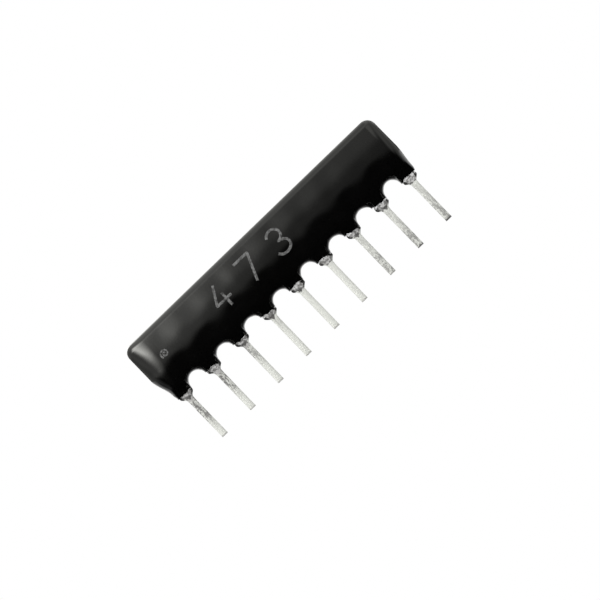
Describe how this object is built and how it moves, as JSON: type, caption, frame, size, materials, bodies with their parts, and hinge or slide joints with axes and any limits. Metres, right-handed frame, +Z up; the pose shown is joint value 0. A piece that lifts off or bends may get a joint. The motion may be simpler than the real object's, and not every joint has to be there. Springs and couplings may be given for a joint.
{
  "type": "resistor network",
  "caption": "Single-in-line resistor network: a dipped black body with an arched lower edge over a row of flat tinned pins, holding printed resistors on a common bus.",
  "frame": {"origin": "middle of the row of pins on the seating plane, where the lead shoulders start", "axes": "+X along the row from the first pin to the last, -Y out of the marked face, +Z up from the board"},
  "size_m": [0.0222, 0.0018, 0.0085],
  "materials": {
    "epoxy": "glossy black dipped epoxy",
    "ceramic": "unglazed white alumina",
    "silver_film": "fired silver-palladium film",
    "resistor_film": "fired dark resistor film",
    "glaze": "green fired glass",
    "tinned_lead": "matte tin plate on a copper alloy",
    "solder": "solder, smooth and uneven"
  },
  "bodies": {
    "root": {"epoxy_coat": "epoxy", "ceramic_plate": "ceramic", "common_bus": "silver_film", "overglaze": "glaze", "pad_2": "silver_film", "pad_3": "silver_film", "pad_4": "silver_film", "pad_5": "silver_film", "pad_6": "silver_film", "pad_7": "silver_film", "pad_8": "silver_film", "pad_9": "silver_film", "resistor_1": "resistor_film", "resistor_2": "resistor_film", "resistor_3": "resistor_film", "resistor_4": "resistor_film", "resistor_5": "resistor_film", "resistor_6": "resistor_film", "resistor_7": "resistor_film", "resistor_8": "resistor_film", "lead_1": "tinned_lead", "lead_2": "tinned_lead", "lead_3": "tinned_lead", "lead_4": "tinned_lead", "lead_5": "tinned_lead", "lead_6": "tinned_lead", "lead_7": "tinned_lead", "lead_8": "tinned_lead", "lead_9": "tinned_lead", "solder_1": "solder", "solder_2": "solder", "solder_3": "solder", "solder_4": "solder", "solder_5": "solder", "solder_6": "solder", "solder_7": "solder", "solder_8": "solder", "solder_9": "solder"}
  },
  "joints": []
}
